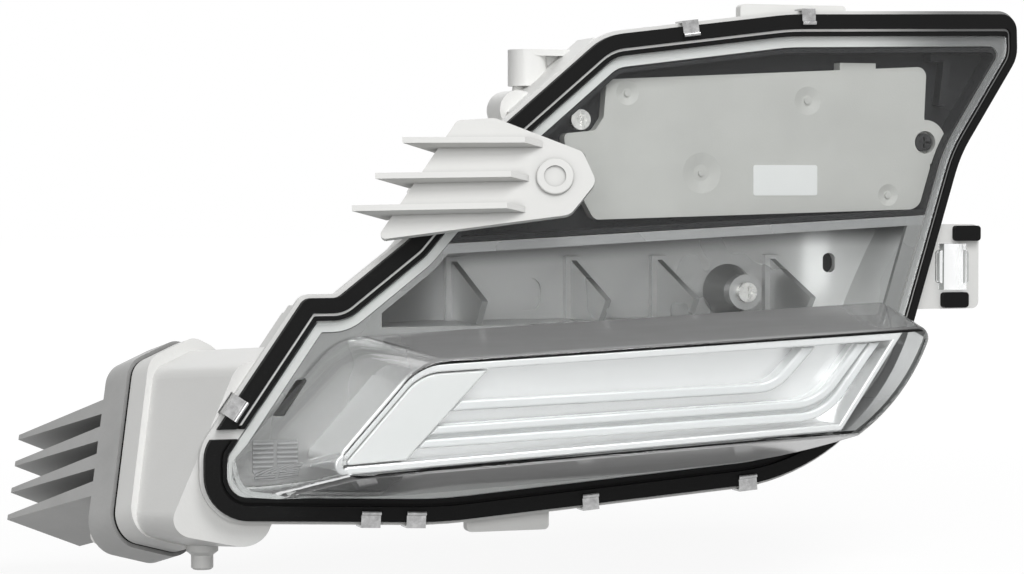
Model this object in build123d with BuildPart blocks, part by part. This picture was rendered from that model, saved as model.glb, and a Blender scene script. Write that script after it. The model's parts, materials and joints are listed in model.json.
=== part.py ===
from build123d import *
import os
from math import cos, radians, sin, tan

os.makedirs("parts", exist_ok=True)

# Frame: the origin is the axis of the upper lug's bore at its top face.
# The lens faces -Y and +Z is up. Depths are measured back from the flange's front face.
flange_y = -26.0

# Rim seen from the front: each corner (x, z) with the radius that rounds it
rim_corners = [
    ((210.0, 17.0), 7.0),
    ((210.5, -1.5), 14.0),
    ((184.0, -43.0), 60.0),
    ((143.5, -175.6), 92.0),
    ((-46.0, -191.0), 200.0),
    ((-142.0, -187.0), 18.0),
    ((-142.0, -159.0), 14.0),
    ((-101.5, -100.5), 5.0),
    ((-88.0, -100.5), 6.0),
    ((-58.5, -77.5), 12.0),
    ((-18.0, -31.0), 40.0),
    ((24.5, 5.0), 25.0),
    ((105.0, 15.0), 120.0),
]
reach = 400.0
least_corner = 1.0
fit = 0.4

# Share of the seal's and seat's width that each rim side keeps: the right end is narrow
seat_shares = [0.5, 0.5, 0.5, 1.0, 1.0, 1.0, 1.0, 1.0, 1.0, 1.0, 1.0, 1.0, 1.0]
closing_inset = 11.0

# Housing
flange_thickness = 3.0
flange_lip = 1.5
lens_seat = 13.5
wall = 2.5
shell_inset = 4.0
upper_depth = 34.0
lower_inset = 8.0
lower_top = -64.0
shell_round = 3.0
rear_rib_width = 2.0
rear_rib_height = 4.0
lower_ribs = [-70.0, -20.0, 60.0, 130.0]
lower_rib_level = -110.0
upper_ribs = [20.0, 80.0, 150.0]
skirt_back = 24.0
skirt_share = (0.1, 0.95)
shoulder_place = (-9.5, -25.2)
shoulder_radius = 8.0
shoulder_depths = (8.0, 26.0)

# Seal: a wide bead outside and a thin lip inside on a common base, open where its ends meet.
# Above its ends the flange's locating rib stands in the groove between bead and lip.
bead_width = 6.0
bead_height = 3.5
groove_width = 1.2
lip_width = 1.8
locating_rib = 1.0
locating_rib_height = 2.2
locating_rib_end = -150.0
seal_break_place = (-135.0, -153.5)
seal_break_size = (40.0, 4.0)
seal_lip_height = 2.4
seal_base = 1.0

# Cover lens and the bubble of the running light
lens_thickness = 2.5
lens_gap = 0.3
bubble_margin = 10.5
bubble_front = -45.0
bubble_top = -112.0
bubble_top_slope = 0.047
bubble_top_draft = 11.0
bubble_bottom = -176.5
bubble_bottom_slope = 0.055
bubble_bottom_draft = 17.4
bubble_left = -103.0
bubble_left_height = -132.7
bubble_left_angle = 48.0
bubble_left_lean = 34.6
bubble_edge = 2.0
bubble_upper_corner = 26.0
bubble_lower_corner = 7.0
bubble_end_corner = 5.0

# Lip between the upper tray and the middle pocket
lip_height = -77.2
lip_slope = 0.0515
lip_drop = 4.0

# Upper tray and the driver under its cover
tray_front = 0.8
tray_floor_depth = 12.0
tray_floor = 2.0
tray_wall = 2.0
post_radius = 4.0
post_places = [(40.0, -60.0), (160.0, -20.0), (160.0, -58.0), (60.0, -14.0)]
tray_screw_place = (17.5, -29.0)
tray_screw_grip = 6.0
tray_rib_path = [(174.0, -1.6), (182.0, -1.6), (179.5, -22.0)]
tray_rib_bend = 2.0
tray_rib_width = 3.5
tray_rib_height = 6.0
cover_front = 6.0
cover_thickness = 1.5
cover_corners = [
    ((27.5, -12.5), 3.0),
    ((172.0, -5.5), 4.0),
    ((171.0, -27.0), 5.0),
    ((174.0, -48.0), 8.0),
    ((168.5, -66.0), 6.0),
    ((22.0, -70.0), 4.0),
    ((17.5, -62.0), 4.0),
    ((18.5, -42.5), 3.0),
    ((9.5, -40.5), 2.0),
    ((9.0, -34.8), 2.0),
    ((22.5, -33.5), 3.0),
    ((26.2, -28.0), 3.0),
]
cover_tab_place = (140.0, -6.2)
cover_tab_size = (16.5, 3.6)
ear_place = (171.5, -37.6)
ear_radius = 9.5
neck_share = 1.4
ear_recess = 4.8
ear_recess_depth = 4.0
ear_screw_head = 3.8
screw_shank = 2.0
screw_clearance = 0.3
screw_head = 4.2
screw_head_height = 2.8
recess_length = 1.2
recess_width = 0.24
dimple_places = [(36.6, -18.0), (117.1, -20.5), (69.4, -50.8), (154.3, -60.0)]
dimple_radii = [5.0, 6.0, 8.5, 4.6]
dimple_depth = 0.9
dimple_floor_share = 0.4
dimple_pip = 1.3
dimple_pip_height = 0.7
board_thickness = 1.6
label_place = (107.0, -53.8)
label_size = (29.0, 12.8)
label_thickness = 0.2
label_corner = 1.0
board_place = (98.0, -39.0)
board_size = (126.0, 40.0)
board_corner = 3.0
part_grid = (5, 2)
part_pitch = (21.0, 13.4)
part_size = (9.0, 7.0)
part_height = 2.0
plug_place = (41.0, -39.0)
plug_size = (7.0, 20.0)
plug_height = 2.5

# Inner bezel with the middle pocket
bezel_front = 1.0
bezel_thickness = 2.5
pocket_depth = 54.5
pocket_left = -72.0
pocket_right = 168.0
pocket_bottom = -115.0
pocket_corner = 45.0
gusset_places = [-25.0, 28.0, 67.0, 119.5]
gusset_thickness = 2.5
gusset_top = -86.0
gusset_tip = -103.0
gusset_tip_depth = 5.0
gusset_undercut = 10.0
gusset_bar = (7.0, 5.0)
recess_place = (8.0, -102.0)
recess_size = (13.0, 14.0)
recess_corner = 5.0
recess_depth = 1.4
boss_place = (100.0, -101.5)
boss_radius = 7.5
boss_foot = 12.0
boss_front = 32.0
boss_straight = 6.0
rear_boss = 8.0
slot_place = (145.0, -89.6)
slot_height = 8.5
slot_width = 4.5
port_place = (-106.5, -140.2)
port_size = (6.0, 15.0)
port_lean = 10.0
port_corner = 1.2

# Optics inside the bubble
optic_gap = 0.6
optic_front = -40.0
optic_floor_depth = -28.0
optic_wall = 3.0
optic_round = 0.8
optic_floor = 2.0
v_top = (138.0, -118.0)
v_low = (116.0, -150.0)
diffuser_edge_top = (-34.0, -124.0)
diffuser_edge_low = (-77.5, -169.0)
diffuser_front = -39.0
diffuser_round = 0.8
guide_gap = 0.6
guide_height = 9.0
guide_base = 5.0
guide_round = 1.0
outer_guide_path = [(-90.0, -154.8), (105.0, -146.8), (127.5, -118.0)]
outer_guide_bend = 24.0
outer_guide_width = 9.0
ridge_shift = 2.5
ridge_width = 3.4
inner_guide_path = [(-80.0, -142.6), (84.0, -137.4), (101.5, -119.0)]
inner_guide_bend = 18.0
inner_guide_width = 4.0
flute_area = (-112.5, -164.0)
flute_size = (18.0, 14.0)
flute_pitch = 1.8
flute_base = 0.6
flute_radius = 0.6
flute_column_gap = 1.6

# Light engine drum and heat sink at the lower left
sink_forward = 0.5
sink_centre = (-147.5, flange_y + pocket_depth - sink_forward, -166.0)
sink_yaw = 31.0
sink_droop = 16.3
sink_roll = 22.5
drum_corners = [
    ((20.5, 33.0), 12.0),
    ((-1.0, 50.7), 10.0),
    ((-20.5, 50.0), 12.0),
    ((-20.5, -38.0), 13.0),
    ((20.5, -42.5), 11.0),
]
sink_plate = 14.0
sink_edge = 1.6
fin_count = 4
fin_pitch = 12.0
fin_first = 17.5
fin_length = 56.0
fin_width = 38.5
fin_root = 6.4
fin_tip = 2.2
gasket_thickness = 1.0
drum_direction = (25.0, -51.0, 4.0)
drum_flange = 10.0
drum_step = 3.0
drum_wall = 3.0
sink_screw_shank = 1.7
sink_screw_head = 3.2
sink_screw_grip = 5.0
pad_thickness = 0.5
led_margin = (4.0, 4.5)
led_board_corner = 1.5
led_size = 3.6
led_height = 1.0
led_pitch = 13.0
led_count = 3
cup_length = 15.0
cup_small = 3.2
cup_large = 6.3
cup_plate = 2.0
cup_plate_margin = 1.0
leg_margin = 3.0
leg_rows = 2
leg_radius = 1.5

# Upper lug, arm and other fixings
lug_radius = 8.0
lug_height = 15.0
lug_bore = 4.2
bush_bore = 3.3
bush_clearance = 0.05
lug_plate = 2.6
lug_plate_depth = 16.0
lug_rib_share = (0.25, 0.9)
arm_yaw = 18.0
arm_pitch = 16.0
arm_origin = (-4.8, -50.0, -52.6)
arm_thickness = 3.5
arm_corners = [
    ((-39.0, 23.5), 3.0),
    ((-24.0, 24.5), 6.0),
    ((11.0, 10.5), 4.0),
    ((16.5, -2.0), 5.0),
    ((6.0, -15.5), 6.0),
    ((-71.0, -26.0), 2.0),
]
arm_disc = 7.5
arm_disc_height = 1.4
arm_disc_round = 0.7
arm_dish = 4.4
arm_dish_depth = 0.9
rib_starts = [(-3.0, 13.4), (-8.5, -0.6), (-10.0, -13.4)]
rib_roots = [(-47.5, 13.0), (-58.0, -1.6), (-67.0, -14.8)]
rib_overhang = 13.0
rib_height = 8.0
rib_heel = 7.0
rib_shoulder = (9.0, 7.0)
rib_thickness = 2.4
web_gap = 1.2
web_thickness = 4.0
web_back = 24.0
web_share = (0.2, 0.85)
arm_screw_spread = 24.0
catch_place = (180.5, -90.5)
catch_size = (32.0, 36.0)
catch_depth = 4.0
catch_corner = 3.0
catch_thickness = 8.0
catch_window = (11.0, 20.0)
window_place = (183.0, -90.5)
latch_stand = 5.0
latch_size = (14.0, 14.0)
latch_shoulder = 3.5
latch_corner = 1.5
latch_pad_places = [(190.0, -76.3), (184.5, -104.7)]
latch_pad_size = (12.0, 6.5)
latch_pad_height = 3.0
foot_place = (-135.5, 8.0)
foot_radius = 4.5
foot_end = -210.8
foot_collar = 6.5
foot_collar_end = -205.0
foot_cone = 1.6
foot_edge = 0.8
top_tab = (110.5, 14.0)
top_tab_size = (48.0, 11.0)
low_tab = (-15.0, -190.0)
low_tab_size = (35.0, 13.0)
tab_depth = 5.0
tab_thickness = 5.0
tab_corner = 2.0

# Spring clips: the rim side they sit on, the share along it and their width
clip_sides = [11, 12, 3, 3, 4, 4, 6]
clip_shares = [0.45, 0.08, 0.3, 0.665, 0.11, 0.305, 0.28]
clip_widths = [7.0, 6.0, 8.0, 7.0, 8.0, 8.0, 9.0]
clip_thickness = 0.8
clip_bite = 3.6
clip_curl = 0.9
clip_back_bite = 2.5

# Rear socket and breather
socket_place = (20.0, -138.0)
socket_size = (30.0, 19.0)
socket_flange = 4.0
socket_flange_thickness = 2.0
socket_length = 16.0
socket_wall = 2.0
socket_corner = 3.0
pin_radius = 0.8
pin_pitch = 5.0
pin_count = 4
vent_place = (120.0, -35.0)
vent_radius = 9.0
vent_stem = 4.0
vent_height = 5.0
vent_round = 1.5

# Sizes that follow from the ones above
lower_depth = pocket_depth + wall
seal_width = bead_width + groove_width + lip_width
tray_back = tray_floor_depth + tray_floor
cover_height = tray_floor_depth - cover_front
drum_inset = drum_step + drum_wall
drum_near = max(place[0] for place, _ in drum_corners)
drum_low = min(abs(place[1]) for place, _ in drum_corners)
led_board_size = (2 * (drum_near - drum_inset - led_margin[0]), 2 * (drum_low - drum_inset - led_margin[1]))
cup_plate_size = (led_board_size[0] - 2 * cup_plate_margin, led_board_size[1] - 2 * cup_plate_margin)
leg_spread = (led_board_size[0] - 2 * leg_margin, led_board_size[1] - 2 * leg_margin)


def facing(depth):
    """Sketch plane that looks at the viewer, this far behind the flange's front face."""
    return Plane.XZ.offset(-(flange_y + depth))


def rounded_face(corners):
    """Face inside a closed outline whose corners carry their own radii."""
    with BuildSketch(Plane.XY, mode=Mode.PRIVATE) as outline:
        with BuildLine():
            FilletPolyline(*[place for place, _ in corners], radius=[r for _, r in corners], close=True)
        make_face()
    return outline.sketch


def rim_face(inset):
    """The rim's face, moved in by inset."""
    with BuildSketch(Plane.XY, mode=Mode.PRIVATE) as outline:
        add(rounded_face(rim_corners))
        if inset:
            offset(amount=-inset)
    return outline.sketch


def seat_face(inset):
    """The rim's face moved in by inset, each side by its own share; the short right side closes up."""
    count = len(rim_corners)
    points = [Vector(*place) for place, _ in rim_corners]
    runs = [(points[(i + 1) % count] - points[i]).normalized() for i in range(count)]
    inward = [Vector(run.Y, -run.X) for run in runs]
    sides = list(range(count))
    if inset > closing_inset:
        sides.remove(0)
    corners = []
    for last, side in zip(sides[-1:] + sides[:-1], sides):
        before = inset * seat_shares[last]
        after = inset * seat_shares[side]
        start = points[last] + inward[last] * before
        slide = (after - (start - points[side]).dot(inward[side])) / runs[last].dot(inward[side])
        place = start + runs[last] * slide
        change = (before + after) / 2
        inner_bend = runs[last].cross(runs[side]).Z > 0
        radius = rim_corners[side][1] + (change if inner_bend else -change)
        corners.append(((place.X, place.Y), max(radius, least_corner)))
    return rounded_face(corners)


def drum_face(inset):
    """Outline of the drum's open end, moved in by inset."""
    with BuildSketch(Plane.XY, mode=Mode.PRIVATE) as outline:
        add(rounded_face(drum_corners))
        if inset:
            offset(amount=-inset)
    return outline.sketch


def half_face(height, slope, side):
    """Large face above (side 1) or below (side -1) the line z = height + slope * x."""
    with BuildSketch(Plane.XY, mode=Mode.PRIVATE) as half:
        low = height - slope * reach
        high = height + slope * reach
        Polygon((-reach, low), (reach, high), (reach, side * reach), (-reach, side * reach), align=None)
    return half.sketch


def side_face(start, end, side, shift=0.0):
    """Large face left (side -1) or right (side 1) of the line from start to end, moved by shift."""
    run = (start[0] - end[0]) / (start[1] - end[1])

    def x_at(z):
        return start[0] + (z - start[1]) * run + shift

    with BuildSketch(Plane.XY, mode=Mode.PRIVATE) as half:
        Polygon((x_at(reach), reach), (x_at(-reach), -reach), (side * 2 * reach, -reach),
                (side * 2 * reach, reach), align=None)
    return half.sketch


def drl_window(depth, inset):
    """Face between the bubble's top, left and bottom walls at one depth, moved in by inset."""
    forward = -lens_thickness - depth
    top = bubble_top - tan(radians(bubble_top_draft)) * forward - inset
    bottom = bubble_bottom + tan(radians(bubble_bottom_draft)) * forward + inset
    lean = 1.0 / tan(radians(bubble_left_angle))
    left = bubble_left + tan(radians(bubble_left_lean)) * forward + inset / sin(radians(bubble_left_angle))

    def corner(height, slope):
        x = (left + (height - bubble_left_height) * lean) / (1.0 - slope * lean)
        return (x, height + slope * x)

    with BuildSketch(Plane.XY, mode=Mode.PRIVATE) as window:
        Polygon(corner(top, bubble_top_slope), (reach, top + bubble_top_slope * reach),
                (reach, bottom + bubble_bottom_slope * reach), corner(bottom, bubble_bottom_slope),
                align=None)
        fillet(window.vertices().sort_by(Axis.X)[0], max(bubble_lower_corner - inset, least_corner))
        fillet(window.vertices().sort_by(Axis.Y)[-2], bubble_upper_corner - inset)
    return window.sketch


def rim_side(index, share):
    """Point on a straight rim side and the outward direction there, both in the flange's plane."""
    start = rim_corners[index][0]
    end = rim_corners[(index + 1) % len(rim_corners)][0]
    along = Vector(end[0] - start[0], 0.0, end[1] - start[1])
    point = Vector(start[0], flange_y, start[1]) + along * share
    outward = along.cross(Vector(0.0, 1.0, 0.0)).normalized()
    return point, outward


def across_rim(index, share):
    """Plane across the rim: x outward, y back from the flange's front face."""
    point, outward = rim_side(index, share)
    return Plane(origin=point, x_dir=outward, z_dir=(-outward.Z, 0.0, outward.X))


# Planes of the tilted pieces
sink_normal = Vector(-sin(radians(sink_yaw)) * cos(radians(sink_droop)),
                     cos(radians(sink_yaw)) * cos(radians(sink_droop)), -sin(radians(sink_droop)))
sink_level = Vector(-cos(radians(sink_yaw)), -sin(radians(sink_yaw)), 0.0)
sink_up = sink_normal.cross(sink_level)
sink_across = sink_level * cos(radians(sink_roll)) + sink_up * sin(radians(sink_roll))
sink_plane = Plane(origin=sink_centre, x_dir=sink_across, z_dir=sink_normal)
arm_normal = Vector(-sin(radians(arm_yaw)) * cos(radians(arm_pitch)),
                    -cos(radians(arm_yaw)) * cos(radians(arm_pitch)), sin(radians(arm_pitch)))
arm_level = Vector(cos(radians(arm_yaw)), -sin(radians(arm_yaw)), 0.0)
arm_plane = Plane(origin=arm_origin, x_dir=arm_level, z_dir=arm_normal)


def screw(seat, shank, length, head, head_height):
    """Pan head screw with a cross recess, its head standing on the seat plane."""
    with BuildSketch(seat, mode=Mode.PRIVATE) as head_face:
        Circle(head)
    with BuildSketch(seat, mode=Mode.PRIVATE) as shank_face:
        Circle(shank)
    with BuildSketch(seat.offset(head_height), mode=Mode.PRIVATE) as recess:
        Rectangle(recess_length * head, recess_width * head)
        Rectangle(recess_width * head, recess_length * head)
    extrude(head_face.sketch, amount=head_height)
    extrude(shank_face.sketch, amount=-length)
    extrude(recess.sketch, amount=-head_height / 2, mode=Mode.SUBTRACT)


# Seats of the screws in the arm's web and at the heat sink's corners
web_face = flange_lip + web_gap + web_thickness
web_plane = across_rim(9, (web_share[0] + web_share[1]) / 2)
arm_screw_depth = (flange_thickness + web_back) / 2
arm_screw_planes = []
for side in (-0.5, 0.5):
    seat = web_plane.from_local_coords((web_face, arm_screw_depth, side * arm_screw_spread))
    arm_screw_planes.append(Plane(origin=seat, x_dir=web_plane.z_dir, z_dir=web_plane.x_dir))
arm_screw_grip = web_gap + flange_lip + shell_inset
sink_face = gasket_thickness + sink_plate
sink_screw_planes = []
for arc in drum_face(drum_inset / 2).edges().filter_by(GeomType.CIRCLE):
    spot = arc.position_at(0.5)
    seat = sink_plane.from_local_coords((spot.X, spot.Y, sink_face))
    sink_screw_planes.append(Plane(origin=seat, x_dir=sink_plane.x_dir, z_dir=sink_plane.z_dir))

# Hollow of the drum behind the heat sink, and the spaces inside the housing
drum_reach = Vector(*drum_direction).length * 1.6
with BuildPart() as drum_space:
    with BuildSketch(sink_plane):
        add(drum_face(drum_inset))
    extrude(amount=drum_reach, dir=drum_direction)
    split(bisect_by=facing(flange_thickness + wall), keep=Keep.BOTTOM)

with BuildPart() as drum_body:
    with BuildSketch(sink_plane):
        add(drum_face(drum_step))
    extrude(amount=drum_reach, dir=drum_direction)
    split(bisect_by=facing(flange_thickness), keep=Keep.BOTTOM)

# Rear housing: flange, stepped shell, drum, lug, arm pad, side catch and foot pin
clip_room = flange_lip + clip_thickness + fit
with BuildPart() as rear_housing:
    with BuildSketch(facing(0)):
        add(rim_face(-flange_lip))
    extrude(amount=-flange_thickness)
    with BuildSketch(facing(0)):
        add(rim_face(shell_inset))
    extrude(amount=-upper_depth)
    with BuildSketch(facing(0)):
        add(rim_face(lower_inset))
        add(half_face(lower_top, 0.0, -1), mode=Mode.INTERSECT)
    extrude(amount=-lower_depth)
    fillet(rear_housing.faces().sort_by(Axis.Y)[-1].edges(), shell_round)
    with BuildSketch(facing(lower_depth)):
        with Locations(*[(place, 0.0) for place in lower_ribs]):
            Rectangle(rear_rib_width, 2 * reach)
        with Locations((0.0, lower_rib_level)):
            Rectangle(2 * reach, rear_rib_width)
        add(rim_face(lower_inset + shell_round), mode=Mode.INTERSECT)
        add(half_face(lower_top - shell_round, 0.0, -1), mode=Mode.INTERSECT)
    extrude(amount=-rear_rib_height)
    with BuildSketch(facing(upper_depth)):
        with Locations(*[(place, 0.0) for place in upper_ribs]):
            Rectangle(rear_rib_width, 2 * reach)
        add(rim_face(shell_inset + shell_round), mode=Mode.INTERSECT)
        add(half_face(lower_top, 0.0, 1), mode=Mode.INTERSECT)
    extrude(amount=-rear_rib_height)
    add(drum_body.part)
    with BuildSketch(sink_plane):
        add(drum_face(0.0))
    extrude(amount=-drum_flange)
    with BuildSketch(Plane.XY):
        Circle(lug_radius)
    extrude(amount=-lug_height)
    with BuildSketch(Plane.XY):
        with Locations((lug_plate_depth, 0)):
            Rectangle(2 * lug_plate_depth, lug_plate_depth)
    extrude(amount=-lug_plate)
    lug_rib_low = rim_side(10, lug_rib_share[0])[0]
    lug_rib_high = rim_side(10, lug_rib_share[1])[0]
    with BuildSketch(Plane.XZ):
        Polygon((-lug_radius / 2, -lug_plate), (lug_rib_high.X, -lug_plate), (lug_rib_high.X, lug_rib_low.Z),
                (lug_rib_low.X, lug_rib_low.Z - shell_inset), align=None)
    extrude(amount=flange_thickness / 2, both=True)
    pad_length = Vector(rim_corners[10][0][0] - rim_corners[9][0][0], 0,
                        rim_corners[10][0][1] - rim_corners[9][0][1]).length
    with BuildSketch(across_rim(9, (web_share[0] + web_share[1]) / 2)):
        Polygon((-shell_inset - wall / 2, flange_thickness), (flange_lip + web_gap, flange_thickness),
                (flange_lip + web_gap, web_back), (-shell_inset - wall / 2, web_back), align=None)
    extrude(amount=pad_length * (web_share[1] - web_share[0]) / 2, both=True)
    skirt_length = (rim_side(10, skirt_share[1])[0] - rim_side(10, skirt_share[0])[0]).length
    with BuildSketch(across_rim(10, (skirt_share[0] + skirt_share[1]) / 2)):
        Polygon((-shell_inset - wall / 2, flange_thickness), (flange_lip, flange_thickness),
                (flange_lip, skirt_back), (-shell_inset - wall / 2, skirt_back), align=None)
    extrude(amount=skirt_length / 2, both=True)
    with BuildSketch(facing(shoulder_depths[0])):
        with Locations(shoulder_place):
            Circle(shoulder_radius)
    extrude(amount=shoulder_depths[0] - shoulder_depths[1])
    with BuildSketch(facing(catch_depth)):
        with Locations(catch_place):
            RectangleRounded(*catch_size, catch_corner)
    extrude(amount=-catch_thickness)
    with BuildSketch(facing(0)):
        add(seat_face(bead_width + (groove_width - locating_rib) / 2))
        add(seat_face(bead_width + (groove_width + locating_rib) / 2), mode=Mode.SUBTRACT)
        add(half_face(locating_rib_end, 0.0, 1), mode=Mode.INTERSECT)
        with Locations(seal_break_place):
            Rectangle(*seal_break_size, mode=Mode.SUBTRACT)
    extrude(amount=locating_rib_height)
    for place, size in ((top_tab, top_tab_size), (low_tab, low_tab_size)):
        with BuildSketch(facing(tab_depth)):
            with Locations(place):
                RectangleRounded(*size, tab_corner)
        extrude(amount=-tab_thickness)
    boss_back = lower_depth + rear_boss
    with BuildSketch(facing(lower_depth)):
        with Locations(boss_place):
            Circle(boss_radius)
    extrude(amount=lower_depth - boss_back)
    with BuildSketch(Plane.XY.offset(sink_centre[2])):
        with Locations(foot_place):
            Circle(foot_radius)
    extrude(amount=foot_end - sink_centre[2])
    with BuildSketch(Plane.XY.offset(sink_centre[2])):
        with Locations(foot_place):
            Circle(foot_collar)
    extrude(amount=foot_collar_end + foot_cone - sink_centre[2])
    with BuildSketch(Plane.XY.offset(foot_collar_end + foot_cone)):
        with Locations(foot_place):
            Circle(foot_collar)
    with BuildSketch(Plane.XY.offset(foot_collar_end)):
        with Locations(foot_place):
            Circle(foot_radius)
    loft()
    chamfer(rear_housing.faces().sort_by(Axis.Z)[0].edges(), foot_edge)
    # spaces inside
    with BuildSketch(facing(0)):
        add(seat_face(lens_seat))
    extrude(amount=-flange_thickness, mode=Mode.SUBTRACT)
    with BuildSketch(facing(flange_thickness)):
        add(rim_face(shell_inset + wall))
    extrude(amount=-(upper_depth - wall - flange_thickness), mode=Mode.SUBTRACT)
    with BuildSketch(facing(flange_thickness)):
        add(rim_face(lower_inset + wall))
        add(half_face(lower_top - wall, 0.0, -1), mode=Mode.INTERSECT)
    extrude(amount=-(pocket_depth - flange_thickness), mode=Mode.SUBTRACT)
    add(drum_space.part, mode=Mode.SUBTRACT)
    with BuildSketch(Plane.XY):
        Circle(lug_bore)
    extrude(amount=-lug_height, mode=Mode.SUBTRACT)
    with BuildSketch(facing(catch_depth)):
        with Locations(window_place):
            Rectangle(*catch_window)
    extrude(amount=-catch_thickness, mode=Mode.SUBTRACT)
    with BuildSketch(facing(pocket_depth)):
        with Locations(boss_place):
            Circle(screw_shank)
    extrude(amount=pocket_depth - boss_back + wall, mode=Mode.SUBTRACT)
    with BuildSketch(facing(upper_depth - wall)):
        with Locations(*post_places, tray_screw_place):
            Circle(post_radius)
    extrude(amount=upper_depth - wall - tray_back)
    with BuildSketch(facing(tray_back)):
        with Locations(tray_screw_place):
            Circle(screw_shank)
    extrude(amount=-tray_screw_grip, mode=Mode.SUBTRACT)
    with BuildSketch(facing(pocket_depth)):
        with Locations(socket_place):
            Rectangle(*socket_size)
    extrude(amount=pocket_depth - lower_depth, mode=Mode.SUBTRACT)
    with BuildSketch(facing(upper_depth - wall)):
        with Locations(vent_place):
            Circle(vent_stem + fit)
    extrude(amount=-wall, mode=Mode.SUBTRACT)
    for plane in arm_screw_planes:
        with BuildSketch(plane.offset(-web_thickness)):
            Circle(screw_shank)
        extrude(amount=-arm_screw_grip, mode=Mode.SUBTRACT)
    for plane in sink_screw_planes:
        with BuildSketch(plane.offset(-sink_plate - gasket_thickness)):
            Circle(sink_screw_shank)
        extrude(amount=-sink_screw_grip, mode=Mode.SUBTRACT)
    for side, share, width in zip(clip_sides, clip_shares, clip_widths):
        with BuildSketch(across_rim(side, share)):
            Polygon((-clip_back_bite - fit, flange_thickness), (clip_room, flange_thickness),
                    (clip_room, flange_thickness + clip_thickness + fit),
                    (-clip_back_bite - fit, flange_thickness + clip_thickness + fit), align=None)
        extrude(amount=width / 2 + fit, both=True, mode=Mode.SUBTRACT)
rear_housing.part.label = "rear_housing"
export_step(rear_housing.part, "parts/rear_housing.step")

# Perimeter seal: bead, groove and inner lip on one base
with BuildPart() as perimeter_seal:
    with BuildSketch(facing(0)):
        add(rim_face(0.0))
        add(seat_face(seal_width), mode=Mode.SUBTRACT)
    extrude(amount=seal_base)
    with BuildSketch(facing(0)):
        add(rim_face(0.0))
        add(seat_face(bead_width), mode=Mode.SUBTRACT)
    extrude(amount=bead_height)
    with BuildSketch(facing(0)):
        add(seat_face(bead_width + groove_width))
        add(seat_face(seal_width), mode=Mode.SUBTRACT)
    extrude(amount=seal_lip_height)
    with BuildSketch(facing(0)):
        add(seat_face(bead_width))
        add(seat_face(bead_width + groove_width), mode=Mode.SUBTRACT)
        add(half_face(locating_rib_end - fit, 0.0, 1), mode=Mode.INTERSECT)
    extrude(amount=seal_base, mode=Mode.SUBTRACT)
    with BuildSketch(facing(0)):
        with Locations(seal_break_place):
            Rectangle(*seal_break_size)
    extrude(amount=bead_height, mode=Mode.SUBTRACT)
perimeter_seal.part.label = "perimeter_seal"
export_step(perimeter_seal.part, "parts/perimeter_seal.step")

# Cover lens: flat panel and hollow bubble
with BuildPart() as bubble_space:
    with BuildSketch(facing(0)):
        add(drl_window(0.0, lens_thickness))
    with BuildSketch(facing(bubble_front + lens_thickness)):
        add(drl_window(bubble_front + lens_thickness, lens_thickness))
    loft()
    with BuildSketch(facing(0)):
        add(rim_face(bubble_margin + lens_thickness))
    extrude(amount=-bubble_front, mode=Mode.INTERSECT)

with BuildPart() as cover_lens:
    with BuildSketch(facing(-lens_gap)):
        add(drl_window(-lens_gap, 0.0))
    with BuildSketch(facing(bubble_front)):
        add(drl_window(bubble_front, 0.0))
    loft()
    with BuildSketch(facing(0)):
        add(rim_face(bubble_margin))
    extrude(amount=-bubble_front, mode=Mode.INTERSECT)
    nearest = flange_y + bubble_front + lens_thickness
    farthest = flange_y - lens_thickness
    bubble_sides = cover_lens.edges().filter_by_position(Axis.Y, nearest, farthest)
    fillet(bubble_sides.sort_by(Axis.X)[-1], bubble_end_corner)
    fillet(cover_lens.faces().sort_by(Axis.Y)[0].edges(), bubble_edge)
    with BuildSketch(facing(-lens_gap)):
        add(seat_face(seal_width + fit))
    extrude(amount=lens_thickness)
    add(bubble_space.part, mode=Mode.SUBTRACT)
cover_lens.part.label = "cover_lens"
export_step(cover_lens.part, "parts/cover_lens.step")

# Spring clips that hold flange, seal and cover together
with BuildPart() as lens_clips:
    for side, share, width in zip(clip_sides, clip_shares, clip_widths):
        with BuildSketch(across_rim(side, share)):
            with BuildLine():
                Polyline((-clip_bite, -bead_height), (flange_lip, -bead_height),
                         (flange_lip, flange_thickness), (-clip_back_bite, flange_thickness),
                         (-clip_back_bite, flange_thickness + clip_thickness),
                         (flange_lip + clip_thickness, flange_thickness + clip_thickness),
                         (flange_lip + clip_thickness, -bead_height - clip_thickness),
                         (-clip_bite, -bead_height - clip_thickness), close=True)
            make_face()
            with Locations((-clip_bite, -bead_height - clip_curl)):
                Circle(clip_curl)
        extrude(amount=width / 2, both=True)
lens_clips.part.label = "lens_clips"
export_step(lens_clips.part, "parts/lens_clips.step")

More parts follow.
